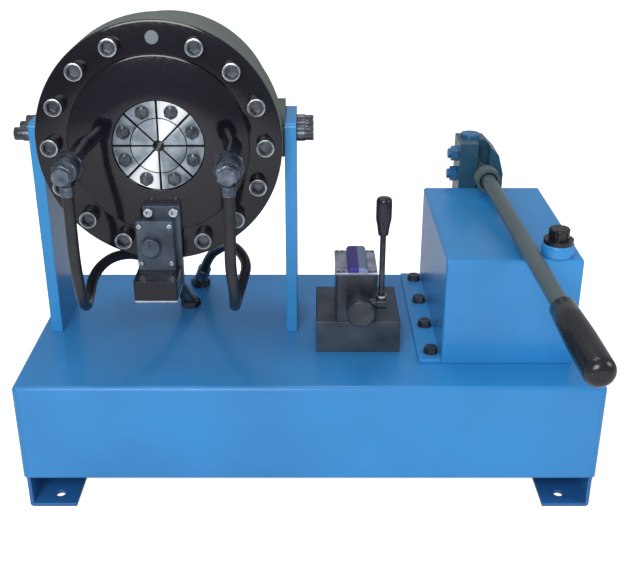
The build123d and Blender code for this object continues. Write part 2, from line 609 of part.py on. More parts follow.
LEVER_SHAFT_Y = MANIFOLD_Y - LEVER_Y
LEVER_SHAFT_Z = SPOOL_Z + LEVER_ABOVE_SPOOL
CAP_FRONT = MANIFOLD_Y - END_CAP_L
end_cap = rod_y(SPOOL_X, SPOOL_Z, CAP_FRONT, MANIFOLD_Y, END_CAP_R)
end_cap = chamfer(end_cap.edges().sort_by(Axis.Y)[0], 1.5)
boss_x = SPOOL_X + END_CAP_R + 2
end_cap += rod((SPOOL_X, LEVER_SHAFT_Y, LEVER_SHAFT_Z), (1, 0, 0), LEVER_SHAFT_R + 3, boss_x - SPOOL_X)
end_cap -= rod_y(SPOOL_X, SPOOL_Z, CAP_FRONT + END_CAP_WALL, MANIFOLD_Y + 1, END_CAP_R - END_CAP_WALL)
shaft_start = (SPOOL_X - 8, LEVER_SHAFT_Y, LEVER_SHAFT_Z)
end_cap -= rod(shaft_start, (1, 0, 0), LEVER_SHAFT_R + FIT, boss_x - SPOOL_X + 9)
write("valve_end_cap", end_cap, ON_BASE)

FINGER_R = 2
TAIL_R = 5
TAIL_GROOVE_R = 2.5
GROOVE_W = 6
spool = rod_y(SPOOL_X, SPOOL_Z, MANIFOLD_Y, SPOOL_Y + SPOOL_L, SPOOL_R)
for land in (0.3, 0.6):
    y = MANIFOLD_Y + land * SPOOL_L
    spool -= rod_y(SPOOL_X, SPOOL_Z, y, y + 8, SPOOL_R + 1) - rod_y(SPOOL_X, SPOOL_Z, y, y + 8, SPOOL_R - 3)
spool += rod_y(SPOOL_X, SPOOL_Z, LEVER_SHAFT_Y - GROOVE_W, MANIFOLD_Y, TAIL_R)
groove_y = (LEVER_SHAFT_Y - GROOVE_W / 2, LEVER_SHAFT_Y + GROOVE_W / 2)
spool -= rod_y(SPOOL_X, SPOOL_Z, *groove_y, TAIL_R + 1) - rod_y(SPOOL_X, SPOOL_Z, *groove_y, TAIL_GROOVE_R)
write("valve_spool", spool, ON_BASE)

lever = rod(shaft_start, (1, 0, 0), LEVER_SHAFT_R, boss_x + RUNNING_GAP - shaft_start[0])
finger_length = LEVER_ABOVE_SPOOL - TAIL_GROOVE_R - RUNNING_GAP * 2
lever += rod((SPOOL_X, LEVER_SHAFT_Y, LEVER_SHAFT_Z), (0, 0, -1), FINGER_R, finger_length)
hub_start = (boss_x + RUNNING_GAP, LEVER_SHAFT_Y, LEVER_SHAFT_Z)
lever += rod(hub_start, (1, 0, 0), LEVER_HUB_R, LEVER_HUB_L)
rod_x = hub_start[0] + LEVER_HUB_L / 2
rod_foot = (rod_x, LEVER_SHAFT_Y, LEVER_SHAFT_Z)
lever += rod(rod_foot, (0, 0, 1), LEVER_ROD_R, LEVER_ROD_L)
lever += rod(rod_foot, (0, 0, 1), LEVER_HUB_L / 2, LEVER_HUB_R + 4)
write("valve_lever", lever, ON_BASE)

KNOB_Z = LEVER_SHAFT_Z + LEVER_ROD_L
half = [(LEVER_KNOB_FOOT_R, 0), (LEVER_KNOB_R, LEVER_KNOB_L * 0.4), (LEVER_KNOB_R, LEVER_KNOB_L * 0.9),
        (LEVER_KNOB_R - 2, LEVER_KNOB_L), (0, LEVER_KNOB_L), (0, 0)]
knob_outline = make_face(Polyline(*[Vector(x, 0, z) for x, z in half], close=True))
lever_knob = Pos(rod_x, LEVER_SHAFT_Y, KNOB_Z) * revolve(knob_outline, Axis.Z)
write("lever_knob", lever_knob, ON_BASE)

plate_x = (valve_x[0] - 1, valve_x[1])
valve_plate = block(plate_x, valve_y, (VALVE_TOP, VALVE_TOP + VALVE_PLATE_T))
ridge_x = (SPOOL_X - 3 - RIDGE_W / 2, SPOOL_X - 3 + RIDGE_W / 2)
ridge = block(ridge_x, valve_y, (VALVE_TOP + VALVE_PLATE_T, VALVE_TOP + VALVE_PLATE_T + RIDGE_H))
ridge = fillet(ridge.edges().filter_by(Axis.Y).group_by(Axis.Z)[-1], RIDGE_H * 0.8)
write("valve_plate", valve_plate + ridge, ON_BASE)

# ---------------------------------------------------------------- oil tank and filler
TANK_END = TANK_Y + TANK[1]
tank_x = (TANK_X - TANK[0] / 2, TANK_X + TANK[0] / 2)
tank = block(tank_x, (TANK_Y, TANK_END), (0, TANK[2]))
tank = fillet(tank.edges().filter_by(Axis.Z) + tank.edges().group_by(Axis.Z)[-1], TANK_BEND_R)
flange_x = (tank_x[0] - TANK_FLANGE_W, tank_x[0])
tank += block(flange_x, (TANK_Y, TANK_END), (0, TANK_FLANGE_T))
inside = [(low + TANK_WALL, high - TANK_WALL) for low, high in (tank_x, (TANK_Y, TANK_END), (0, TANK[2]))]
tank -= block(*inside)
tank -= rod((NECK_X, NECK_Y, TANK[2] / 2), (0, 0, 1), NECK_BORE_R, TANK[2])
tank_screws = []
screw_x = tank_x[0] - TANK_FLANGE_W * 0.38
SCREW_PITCH = TANK[1] * 0.28
for index in range(TANK_SCREWS):
    y = (TANK_Y + TANK_END) / 2 + (index - (TANK_SCREWS - 1) / 2) * SCREW_PITCH
    tank -= rod((screw_x, y, -1), (0, 0, 1), M10[0] / 2 + FIT, TANK_FLANGE_T + 2)
    washer_top = TANK_FLANGE_T + WASHER_T
    pan -= rod((screw_x, y, -PAN_T - 1), (0, 0, 1), M10[0] / 2 + FIT, PAN_T + 2)
    screw = hex_screw((screw_x, y, washer_top), (0, 0, 1), M10, washer_top + PAN_T + WASHER_T)
    washer = rod((screw_x, y, TANK_FLANGE_T), (0, 0, 1), M10[0] + 1, WASHER_T)
    tank_screws.append(screw + washer)
write("tank_shell", tank, ON_BASE)
write("tank_screws", tank_screws, ON_BASE)
write("base_pan", [pan, long_walls, end_walls], ON_BASE)

neck = rod((NECK_X, NECK_Y, TANK[2]), (0, 0, 1), NECK_R, NECK_H)
neck -= rod((NECK_X, NECK_Y, TANK[2] - 1), (0, 0, 1), NECK_BORE_R, NECK_H + 2)
write("filler_neck", neck, ON_BASE)
cap_seat = (NECK_X, NECK_Y, TANK[2] + NECK_H)
cap = rod(cap_seat, (0, 0, 1), CAP_R, CAP_FLANGE_T)
cap += rod(cap_seat, (0, 0, 1), CAP_GRIP_R, CAP_FLANGE_T + CAP_GRIP_H)
cap = fillet(cap.edges().group_by(Axis.Z)[-1], 2)
for index in range(6):
    turn = math.radians(60 * index)
    notch = (NECK_X + CAP_GRIP_R * math.cos(turn), NECK_Y + CAP_GRIP_R * math.sin(turn), cap_seat[2] + CAP_FLANGE_T)
    cap -= rod(notch, (0, 0, 1), 2.5, CAP_GRIP_H + 1)
cap += rod(cap_seat, (0, 0, -1), NECK_BORE_R - RUNNING_GAP, CAP_SPIGOT_L)
write("breather_cap", cap, ON_BASE)

# ---------------------------------------------------------------- hand pump
PUMP_Y = TANK_END
PUMP_END = PUMP_Y + PUMP_DEPTH
outline = [(PUMP_LEFT, PUMP_BOTTOM), (PUMP_RIGHT, PUMP_BOTTOM), (PUMP_RIGHT, PUMP_TOP - 48),
           (PUMP_RIGHT - 8, PUMP_TOP - 19), (PUMP_RIGHT - 27, PUMP_TOP), (PUMP_LEFT, PUMP_TOP)]
profile = make_face(Polyline(*[Vector(x, PUMP_Y, z) for x, z in outline], close=True))
pump = extrude(profile, PUMP_DEPTH, dir=(0, 1, 0))
slot_x = (FULCRUM_X - SLOT_W / 2, FULCRUM_X + SLOT_W / 2)
pump -= block(slot_x, (PUMP_Y - 1, PUMP_Y + SLOT_DEPTH), (SLOT_FLOOR, PUMP_TOP + 1))
FULCRUM_Y = PUMP_Y + FULCRUM_INSET
CRANK_Z = FULCRUM_Z + CRANK
PLUNGER_Y = FULCRUM_Y + NOSE_RADIUS + RUNNING_GAP
PLUNGER_TRAVEL = CRANK * math.radians(PUMP_SWING)
plunger = rod_y(FULCRUM_X, CRANK_Z, PLUNGER_Y, PLUNGER_Y + PLUNGER_L, PLUNGER_R)
bore_end = PLUNGER_Y + PLUNGER_L + PLUNGER_TRAVEL + 2
pump -= rod_y(FULCRUM_X, CRANK_Z, PUMP_Y + SLOT_DEPTH - 1, bore_end, PLUNGER_R + FIT)
pin_x = (PUMP_LEFT + 6, PUMP_RIGHT - 1)
pin = rod((pin_x[0], FULCRUM_Y, FULCRUM_Z), (1, 0, 0), FULCRUM_PIN_R, pin_x[1] - pin_x[0])
pump -= rod((pin_x[0], FULCRUM_Y, FULCRUM_Z), (1, 0, 0), FULCRUM_PIN_R, PUMP_RIGHT + 1 - pin_x[0])
plugs = []
side_y = PUMP_Y + PUMP_DEPTH / 2
for z in (PUMP_TOP - SIDE_PLUG_W * 1.1, PUMP_TOP - SIDE_PLUG_W * 1.1 - SIDE_PLUG_PITCH):
    plug = hex_bar((PUMP_LEFT, side_y, z), (-1, 0, 0), SIDE_PLUG_W, SIDE_PLUG_T)
    plugs.append(plug + rod((PUMP_LEFT - SIDE_PLUG_T, side_y, z), (-1, 0, 0), SIDE_PLUG_W * 0.36, SIDE_PLUG_STEP))
plug_x = (PUMP_LEFT + PUMP_RIGHT - 27) / 2
plugs.append(rod((plug_x, PUMP_END - TOP_PLUG_R - 2, PUMP_TOP), (0, 0, 1), TOP_PLUG_R, TOP_PLUG_T))
write("pump_block", pump, ON_BASE)
write("pump_plugs", plugs, ON_BASE)
write("pump_pin", pin, ON_BASE)
write("pump_plunger", plunger, ON_BASE)

# The handle's line runs from the socket's mouth to the end of the grip.
MOUTH = Vector(*SOCKET_FRONT)
AIM = (Vector(*HANDLE_END) - MOUTH).normalized()
socket = rod(MOUTH - AIM * SOCKET_L, AIM, SOCKET_R, SOCKET_L)
lug_half = SLOT_W / 2 - RUNNING_GAP
lug_y = SOCKET_FRONT[1] + SOCKET_L - 4
lug = rod((FULCRUM_X - lug_half, FULCRUM_Y, FULCRUM_Z), (1, 0, 0), LUG_R, 2 * lug_half)
lug += rod((FULCRUM_X - lug_half, FULCRUM_Y, CRANK_Z), (1, 0, 0), NOSE_RADIUS, 2 * lug_half)
web = [(FULCRUM_Y, FULCRUM_Z - LUG_R), (FULCRUM_Y, CRANK_Z + NOSE_RADIUS), (lug_y, MOUTH.Z + SOCKET_R * 0.7),
       (lug_y, MOUTH.Z - SOCKET_R * 0.7)]
web_face = make_face(Polyline(*[Vector(FULCRUM_X - lug_half, y, z) for y, z in web], close=True))
socket += lug + extrude(web_face, 2 * lug_half, dir=(1, 0, 0))
socket -= rod((FULCRUM_X - 20, FULCRUM_Y, FULCRUM_Z), (1, 0, 0), FULCRUM_PIN_R + FIT, 40)
socket -= rod(MOUTH - AIM * (SOCKET_L - 4), AIM, SOCKET_BORE_R, SOCKET_L)
write("pump_socket", socket, ON_BASE)
handle_foot = MOUTH - AIM * (SOCKET_L - 4)
GRIP_START = Vector(*HANDLE_END) - AIM * GRIP_L
handle = rod(handle_foot, AIM, HANDLE_R, (GRIP_START - handle_foot).length + GRIP_L * 0.7)
handle -= rod(handle_foot, AIM, HANDLE_R - HANDLE_WALL, 2 * HANDLE_L)
SLEEVE_L = SOCKET_L - 6
sleeve = rod(handle_foot, AIM, SOCKET_BORE_R - FIT, SLEEVE_L)
handle += sleeve - rod(handle_foot, AIM, HANDLE_R - FIT, SLEEVE_L)
write("pump_handle", handle, ON_BASE)
grip_plane = Plane(origin=GRIP_START, z_dir=AIM)
grip = grip_plane * Cone(GRIP_NECK_R, GRIP_R, GRIP_L / 2, align=(Align.CENTER, Align.CENTER, Align.MIN))
grip += rod(GRIP_START + AIM * (GRIP_L / 2), AIM, GRIP_R, GRIP_L / 2)
grip = fillet(grip.edges().filter_by(GeomType.CIRCLE).sort_by(Axis(GRIP_START, AIM))[-1], GRIP_R * 0.7)
grip -= rod(GRIP_START - AIM, AIM, HANDLE_R, GRIP_L * 0.7 + 1.5)
write("pump_grip", grip, ON_BASE)
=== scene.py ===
import math
import bpy
import numpy as np
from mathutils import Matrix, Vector


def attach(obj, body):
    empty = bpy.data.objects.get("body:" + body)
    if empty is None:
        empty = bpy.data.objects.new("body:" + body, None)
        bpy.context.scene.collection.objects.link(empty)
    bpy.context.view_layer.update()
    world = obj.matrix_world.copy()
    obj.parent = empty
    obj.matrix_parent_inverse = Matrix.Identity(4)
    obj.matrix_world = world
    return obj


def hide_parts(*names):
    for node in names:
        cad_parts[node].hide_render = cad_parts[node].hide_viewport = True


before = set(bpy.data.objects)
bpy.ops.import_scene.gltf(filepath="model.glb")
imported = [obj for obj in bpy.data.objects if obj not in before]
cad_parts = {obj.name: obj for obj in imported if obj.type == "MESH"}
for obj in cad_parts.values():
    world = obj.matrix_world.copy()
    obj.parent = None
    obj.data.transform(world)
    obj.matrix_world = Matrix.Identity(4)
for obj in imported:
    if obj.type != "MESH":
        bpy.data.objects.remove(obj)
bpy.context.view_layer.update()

# ---------------------------------------------------------------- room, light and camera
# A white floor and backdrop, a broad soft light in front and above, and a camera in front of the
# machine at the height of a person who stands before it.
bpy.context.scene.view_settings.view_transform = "Standard"

world = bpy.data.worlds.new("studio_air")
bpy.context.scene.world = world
world.use_nodes = True
air = world.node_tree
air.nodes.clear()
air_out = air.nodes.new("ShaderNodeOutputWorld")
air_seen = air.nodes.new("ShaderNodeBackground")
air_seen.inputs["Color"].default_value = (1, 1, 1, 1)
air_seen.inputs["Strength"].default_value = 1
air_light = air.nodes.new("ShaderNodeBackground")
air_light.inputs["Color"].default_value = (0.9, 0.95, 1, 1)
air_light.inputs["Strength"].default_value = 0.42
air_path = air.nodes.new("ShaderNodeLightPath")
air_mix = air.nodes.new("ShaderNodeMixShader")
air.links.new(air_path.outputs["Is Camera Ray"], air_mix.inputs[0])
air.links.new(air_light.outputs[0], air_mix.inputs[1])
air.links.new(air_seen.outputs[0], air_mix.inputs[2])
air.links.new(air_mix.outputs[0], air_out.inputs["Surface"])


def lamp(name, place, aim, size, power):
    """A square soft lamp at place, turned to face aim."""
    light = bpy.data.lights.new(name, "AREA")
    light.size = size
    light.energy = power
    lamp_object = bpy.data.objects.new(name, light)
    lamp_object.location = place
    lamp_object.rotation_euler = (Vector(aim) - Vector(place)).to_track_quat("-Z", "Y").to_euler()
    bpy.context.collection.objects.link(lamp_object)


lamp("front_softbox", (-0.5, -2.2, 1.5), (0, 0, 0.35), 1.1, 46)
lamp("right_softbox", (2.0, -0.9, 1.5), (0, 0, 0.35), 0.9, 16)
lamp("top_softbox", (-0.2, 0.5, 2.4), (0, 0, 0.3), 1.2, 14)

camera = bpy.data.cameras.new("camera")
camera.lens = 55.446
camera.sensor_width = 36
camera.shift_x = 0.0164
camera_object = bpy.data.objects.new("camera", camera)
camera_object.location = (0, -1.3253, 0.8751)
camera_object.rotation_euler = (math.radians(65.5), 0, 0)
bpy.context.collection.objects.link(camera_object)
bpy.context.scene.camera = camera_object

# The floor runs out of sight, so it meets the white air behind it.
floor_paint = bpy.data.materials.new("studio_floor")
floor_paint.use_nodes = True
floor_nodes = floor_paint.node_tree
floor_nodes.nodes.clear()
floor_out = floor_nodes.nodes.new("ShaderNodeOutputMaterial")
floor_matt = floor_nodes.nodes.new("ShaderNodeBsdfDiffuse")
floor_matt.inputs["Color"].default_value = (0.86, 0.86, 0.86, 1)
floor_glow = floor_nodes.nodes.new("ShaderNodeEmission")
floor_sum = floor_nodes.nodes.new("ShaderNodeAddShader")
floor_path = floor_nodes.nodes.new("ShaderNodeLightPath")
floor_gain = floor_nodes.nodes.new("ShaderNodeMath")
floor_gain.operation = "MULTIPLY"
floor_gain.inputs[1].default_value = 0.8
floor_nodes.links.new(floor_path.outputs["Is Camera Ray"], floor_gain.inputs[0])
floor_nodes.links.new(floor_gain.outputs[0], floor_glow.inputs["Strength"])
floor_nodes.links.new(floor_matt.outputs[0], floor_sum.inputs[0])
floor_nodes.links.new(floor_glow.outputs[0], floor_sum.inputs[1])
floor_nodes.links.new(floor_sum.outputs[0], floor_out.inputs["Surface"])
floor_mesh = bpy.data.meshes.new("studio_floor")
floor_corners = [(-9, -9, -0.001), (9, -9, -0.001), (9, 9, -0.001), (-9, 9, -0.001)]
floor_mesh.from_pydata(floor_corners, [], [(0, 1, 2, 3)])
floor_mesh.materials.append(floor_paint)
floor = bpy.data.objects.new("studio_floor", floor_mesh)
bpy.context.collection.objects.link(floor)

# ---------------------------------------------------------------- hoses
# Two black rubber hoses, 15 mm across, join the ports on the head's face to fittings on the base.
# Each hangs down in front, turns back under the head, rises over a low crest and comes down to
# its fitting.
BASE_FRONT = -187.5
BASE_TOP = 199


def on_base(x, y, z):
    """A place in metres from millimetres: across, behind the base's front edge, above its top."""
    return (x / 1000, (y + BASE_FRONT) / 1000, (z + BASE_TOP) / 1000)


def shader(name, colour, **sockets):
    """A Principled material with its uniform values set on the shader's own sockets."""
    material = bpy.data.materials.new(name)
    material.use_nodes = True
    principled = material.node_tree.nodes["Principled BSDF"]
    principled.inputs["Base Color"].default_value = (*colour, 1)
    for socket, value in sockets.items():
        principled.inputs[socket.replace("_", " ")].default_value = value
    return material, material.node_tree, principled


def mottle(nodes, principled, low, high, scale, detail=6):
    """Base colour that drifts between two tones with noise in Object coordinates."""
    where = nodes.nodes.new("ShaderNodeTexCoord")
    noise = nodes.nodes.new("ShaderNodeTexNoise")
    noise.inputs["Scale"].default_value = scale
    noise.inputs["Detail"].default_value = detail
    ramp = nodes.nodes.new("ShaderNodeValToRGB")
    ramp.color_ramp.elements[0].position = 0.32
    ramp.color_ramp.elements[0].color = (*low, 1)
    ramp.color_ramp.elements[1].position = 0.68
    ramp.color_ramp.elements[1].color = (*high, 1)
    nodes.links.new(where.outputs["Object"], noise.inputs["Vector"])
    nodes.links.new(noise.outputs["Fac"], ramp.inputs["Fac"])
    nodes.links.new(ramp.outputs["Color"], principled.inputs["Base Color"])
    return where


def grain(nodes, principled, where, scale, height, stretch=(1, 1, 1), edge=0.0):
    """Fine bumps from noise; stretch draws them out, and edge rounds the shading at corners."""
    spread = nodes.nodes.new("ShaderNodeMapping")
    spread.inputs["Scale"].default_value = stretch
    noise = nodes.nodes.new("ShaderNodeTexNoise")
    noise.inputs["Scale"].default_value = scale
    noise.inputs["Detail"].default_value = 4
    bump = nodes.nodes.new("ShaderNodeBump")
    bump.inputs["Strength"].default_value = 0.35
    bump.inputs["Distance"].default_value = height
    nodes.links.new(where.outputs["Object"], spread.inputs["Vector"])
    nodes.links.new(spread.outputs["Vector"], noise.inputs["Vector"])
    nodes.links.new(noise.outputs["Fac"], bump.inputs["Height"])
    if edge:
        corner = nodes.nodes.new("ShaderNodeBevel")
        corner.samples = 6
        corner.inputs["Radius"].default_value = edge
        nodes.links.new(corner.outputs["Normal"], bump.inputs["Normal"])
    nodes.links.new(bump.outputs["Normal"], principled.inputs["Normal"])
    return noise


def vary_roughness(nodes, principled, noise, low, high):
    """Roughness that follows the same noise, from low to high."""
    spread = nodes.nodes.new("ShaderNodeMapRange")
    spread.inputs["From Min"].default_value = 0.3
    spread.inputs["From Max"].default_value = 0.7
    spread.inputs["To Min"].default_value = low
    spread.inputs["To Max"].default_value = high
    nodes.links.new(noise.outputs["Fac"], spread.inputs["Value"])
    nodes.links.new(spread.outputs["Result"], principled.inputs["Roughness"])


hose_rubber, nodes, principled = shader("hose_rubber", (0.012, 0.012, 0.014),
                                        Specular_IOR_Level=0.45)
where = mottle(nodes, principled, (0.006, 0.006, 0.009), (0.015, 0.015, 0.02), 60)
vary_roughness(nodes, principled, grain(nodes, principled, where, 1400, 0.0002), 0.3, 0.45)


def hose(name, points):
    """A hose: a round tube along a NURBS line of order 3 whose controls are the route's points."""
    line = bpy.data.curves.new(name, "CURVE")
    line.dimensions = "3D"
    spline = line.splines.new("NURBS")
    spline.points.add(len(points) - 1)
    for point, place in zip(spline.points, points):
        point.co = (*on_base(*place), 1)
    spline.order_u = 3
    spline.use_endpoint_u = True
    spline.resolution_u = 12
    line.bevel_depth = 0.0075
    line.bevel_resolution = 6
    line.use_fill_caps = True
    line.materials.append(hose_rubber)
    piece = bpy.data.objects.new(name, line)
    bpy.context.collection.objects.link(piece)
    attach(piece, "machine")
    return piece


left_hose = hose("hose_left_tube", [
    (-300, 19, 264), (-300, 19, 219), (-299, 15, 172.5), (-297.5, 24, 123), (-302, 60.5, 89),
    (-308.5, 109, 81.5), (-309.5, 150.5, 98.5), (-292.5, 183.5, 110), (-266.5, 212, 106),
    (-239.5, 229.5, 89.5), (-219.1, 236.7, 66), (-202.3, 245.5, 36.6),
])
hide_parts("hose_left")
right_hose = hose("hose_right_tube", [
    (-100, 19, 264), (-100, 19, 212), (-102, 23, 166), (-98, 33.5, 122), (-101.5, 64, 88),
    (-102.5, 108, 75.5), (-96.5, 150.5, 86.5), (-91, 190.5, 96), (-105, 226, 105),
    (-123.5, 256, 102), (-137.5, 281.5, 86), (-158.9, 298.7, 65.2), (-168.5, 314.3, 36.6),
])
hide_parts("hose_right")

# ---------------------------------------------------------------- base
# A box welded up from 3 mm sheet steel, open below and sprayed a glossy blue. The rails under its
# ends are folded from 5 mm sheet and sprayed the same blue, coloured darker as painted shade.


def sprayed(name, colour, shade=0.82, edge=0.0025, rough=(0.3, 0.42), coat=0.25):
    """Glossy sprayed enamel: a slow drift of tone, a faint orange peel and a clear top layer."""
    material, nodes, principled = shader(name, colour, Specular_IOR_Level=0.4, Coat_Weight=coat,
                                         Coat_Roughness=0.12)
    where = mottle(nodes, principled, tuple(part * shade for part in colour), colour, 5, 3)
    vary_roughness(nodes, principled, grain(nodes, principled, where, 260, 0.0004, edge=edge),
                   *rough)
    return material


def dress(node, material):
    """Give a node of the frame its material."""
    piece = bpy.data.objects[node]
    piece.data.materials.clear()
    piece.data.materials.append(material)


base_blue = sprayed("base_enamel", (0.022, 0.215, 0.53), edge=0.004)
# Painted shade: the rails take the base's blue, made darker.
rail_blue_painted_shade = sprayed("rail_enamel_painted_shade", (0.022, 0.13, 0.38))
dress("base_pan", base_blue)
dress("foot_rail_left", rail_blue_painted_shade)
dress("foot_rail_right", rail_blue_painted_shade)

# ---------------------------------------------------------------- side plates
# Two upright plates carry the head between them. They are cut from 16 mm steel and sprayed like
# the base.
plate_blue = sprayed("plate_enamel", (0.02, 0.235, 0.55), edge=0.003)
dress("side_plate_left", plate_blue)
dress("side_plate_right", plate_blue)

# ---------------------------------------------------------------- head
# The round head is turned from steel: a front plate with a raised boss, gloss black on its face,
# and a body with a groove behind it and a rear cover, grey-green like the plate's rim. A mouth in
# the middle of the boss opens on the dies.
HEAD_AXIS = (-200, 297)
BOSS_Y = 122
HEAD_Y = 126
FLANGE_END = 166
BODY_END = 274
COVER_END = 298


def on_head(x, y, z):
    """A place in metres from millimetres about the die axis; y is still behind the base's front."""
    return on_base(HEAD_AXIS[0] + x, y, HEAD_AXIS[1] + z)


def skin(name, rings, material, body, node=None, loop=False, bands=(), smooth=32):
    """A mesh over a grid of points. rings has the shape (copies, rings, points, 3) or one copy of
    it; neighbouring rings are joined by four-sided faces, and the first and last are closed flat,
    or joined to each other in a loop. bands lists (first ring, last ring, material)."""
    rings = np.asarray(rings, float)
    rings = rings if rings.ndim == 4 else rings[None]
    copies, count, points, _ = rings.shape
    spans = count if loop else count - 1
    ring, point = np.meshgrid(np.arange(spans), np.arange(points), indexing="ij")
    here, there = ring * points, (ring + 1) % count * points
    turn = (point + 1) % points
    quads = np.stack([here + point, here + turn, there + turn, there + point], -1).reshape(-1, 4)
    first = np.arange(copies)[:, None, None] * count * points
    faces = (quads[None] + first).reshape(-1, 4).tolist()
    if not loop:
        ends = np.stack([np.arange(points)[::-1], (count - 1) * points + np.arange(points)])
        faces += (ends[None] + first).reshape(-1, points).tolist()
    mesh = bpy.data.meshes.new(name)
    mesh.from_pydata(rings.reshape(-1, 3).tolist(), [], faces)
    mesh.materials.append(material)
    index = np.zeros(len(faces), np.int32)
    for number, (low, high, other) in enumerate(bands, 1):
        mesh.materials.append(other)
        chosen = ((ring >= low) & (ring < high)).reshape(-1)
        index[:copies * len(quads)][np.tile(chosen, copies)] = number
    mesh.polygons.foreach_set("material_index", index)
    mesh.update()
    mesh.shade_smooth()
    mesh.set_sharp_from_angle(angle=math.radians(smooth))
    piece = bpy.data.objects.new(name, mesh)
    bpy.context.collection.objects.link(piece)
    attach(piece, body)
    if node:
        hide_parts(node)


def turned(profile, starts, along, points=96):
    """Rings of turned pieces. Each profile entry is (distance along, radius) or (distance along,
    half the width across flats, number of flats, turn), in millimetres; a ring with flats has the
    radius half width / cos(angle from the nearest flat's middle). starts are places in metres."""
    starts = np.atleast_2d(np.asarray(starts, float))
    along = np.broadcast_to(np.asarray(along, float), starts.shape)
    along = along / np.linalg.norm(along, axis=1, keepdims=True)
    other = np.where(np.abs(along[:, 2:3]) > 0.9, [[1.0, 0, 0]], [[0, 0, 1.0]])
    across = np.cross(other, along)
    across /= np.linalg.norm(across, axis=1, keepdims=True)
    up = np.cross(along, across)
    angle = np.linspace(0, 2 * math.pi, points, endpoint=False)
    rings = []
    for entry in profile:
        radius = np.full(points, entry[1] / 1000)
        if len(entry) > 2:
            step = 2 * math.pi / entry[2]
            from_corner = angle + step / 2 - (entry[3] if len(entry) > 3 else 0)
            radius = radius / np.cos(from_corner % step - step / 2)
        spoke = np.cos(angle)[:, None] * across[:, None] + np.sin(angle)[:, None] * up[:, None]
        middle = starts + along * entry[0] / 1000
        rings.append(middle[:, None] + radius[None, :, None] * spoke)
    return np.stack(rings, 1)


black_gloss, nodes, principled = shader("head_black_enamel", (0.005, 0.005, 0.008),
                                        Specular_IOR_Level=0.22, Coat_Weight=0.3,
                                        Coat_Roughness=0.04)
where = mottle(nodes, principled, (0.003, 0.003, 0.006), (0.008, 0.007, 0.013), 7)
vary_roughness(nodes, principled, grain(nodes, principled, where, 180, 0.0003), 0.08, 0.16)

grey_enamel = sprayed("head_grey_enamel", (0.105, 0.12, 0.105), shade=0.7, rough=(0.4, 0.55),
                      coat=0.0)

OCTAGON = (8, math.pi / 8)
FACE = [(9.5, 64.4), (0, 62), (0, 118.5), (0.6, 120.2), (2, 121), (4, 121), (4, 161), (4.6, 163),
        (6.5, 164), (44, 164), (44, 73, *OCTAGON), (10, 64.5, *OCTAGON)]
skin("head_face", turned(FACE, on_head(0, BOSS_Y, 0), (0, 1, 0), 192), black_gloss, "machine",
     "head_front_plate", loop=True, bands=[(8, 9, grey_enamel)])
BODY = [(0, 158), (3, 158), (3, 163.5), (3.5, 164), (23.5, 164), (24, 163.5), (24, 148), (108, 148),
        (108, 100), (30, 100), (30, 110), (0, 110)]
skin("head_barrel", turned(BODY, on_head(0, FLANGE_END, 0), (0, 1, 0), 192), grey_enamel,
     "machine", "head_body", loop=True)
COVER = [(0, 148), (22, 148), (24, 146), (24, 66), (0, 66)]
skin("head_cover", turned(COVER, on_head(0, BODY_END, 0), (0, 1, 0), 192), grey_enamel, "machine",
     "head_rear_cover", loop=True)
dress("cone_ring", grey_enamel)

PAD_SIZE = (94, 60)
PAD_CORNER = 3
PAD_EASE = 0.6
PAD_Y = 216.5
PAD_REACH = (110, 166)


def pad(side):
    """Rings of one pad beside the head: a bar along X whose outline is a rectangle with
    quarter-round corners, drawn in by PAD_EASE at both ends."""
    quarter = np.linspace(0, math.pi / 2, 6)
    turns = (np.arange(4)[:, None] * math.pi / 2 + quarter).reshape(-1)
    corner = np.repeat([[1, 1], [-1, 1], [-1, -1], [1, -1]], len(quarter), 0)
    middle = corner * (np.array(PAD_SIZE) / 2 - PAD_CORNER)
    flat = middle + PAD_CORNER * np.stack([np.cos(turns), np.sin(turns)], -1)
    outline = np.stack([np.zeros(len(flat)), flat[:, 0], flat[:, 1]], -1) / 1000
    small = outline * (1 - PAD_EASE / 1000 / np.abs(outline).max())
    step = np.array([PAD_EASE / 1000, 0, 0])
    start, end = (np.array(on_head(side * reach, PAD_Y, 0)) for reach in PAD_REACH[::side])
    return np.stack([small + start, outline + start + step, outline + end - step, small + end])


skin("head_pads", np.stack([pad(-1), pad(1)]), grey_enamel, "machine")

# ---------------------------------------------------------------- screws
# Socket cap screws hold the front plate, the rear cover and the side plates. They are blackened
# steel, with a painted highlight: the chamfer round the rim of each head is bright steel. Of the
# front plate's sixteen places the top one has a plain grey plug, and the lowest one, behind the
# crimp stop, has nothing.
black_steel, nodes, principled = shader("blackened_steel", (0.02, 0.02, 0.022), Metallic=0.85)
where = mottle(nodes, principled, (0.045, 0.048, 0.056), (0.13, 0.14, 0.16), 90)
vary_roughness(nodes, principled, grain(nodes, principled, where, 700, 0.0002), 0.28, 0.42)
# Bright steel: a painted highlight on the rim chamfer of each screw head, and the plain bright
# steel of the lever's collar.
bright_steel_and_rim_highlight, nodes, principled = shader("bright_steel_and_painted_rim_highlight", (0.45, 0.47, 0.5), Metallic=1.0)
where = mottle(nodes, principled, (0.22, 0.24, 0.27), (0.5, 0.53, 0.57), 160)
vary_roughness(nodes, principled, grain(nodes, principled, where, 900, 0.0002), 0.22, 0.36)


def cap_screw(head, height, socket, shank, length):
    """A socket cap screw's profile, from the shank's end to the floor of the hexagon socket."""
    half = head / 2
    return [(-length, shank / 2), (0, shank / 2), (0, half - 0.3), (0.4, half),
            (height - 1.2, half), (height - 0.4, half - 0.4), (height, half - 1.9),
            (height, socket / 2 + 0.9), (height - 0.7, socket / 2, 6),
            (height * 0.45, socket / 2, 6), (height * 0.42, socket / 4)]


def on_ring(radius, y, turns):
    """Places at a radius about the die axis; a turn of zero is to the right and grows downwards."""
    return [on_head(radius * math.cos(turn), y, -radius * math.sin(turn)) for turn in turns]


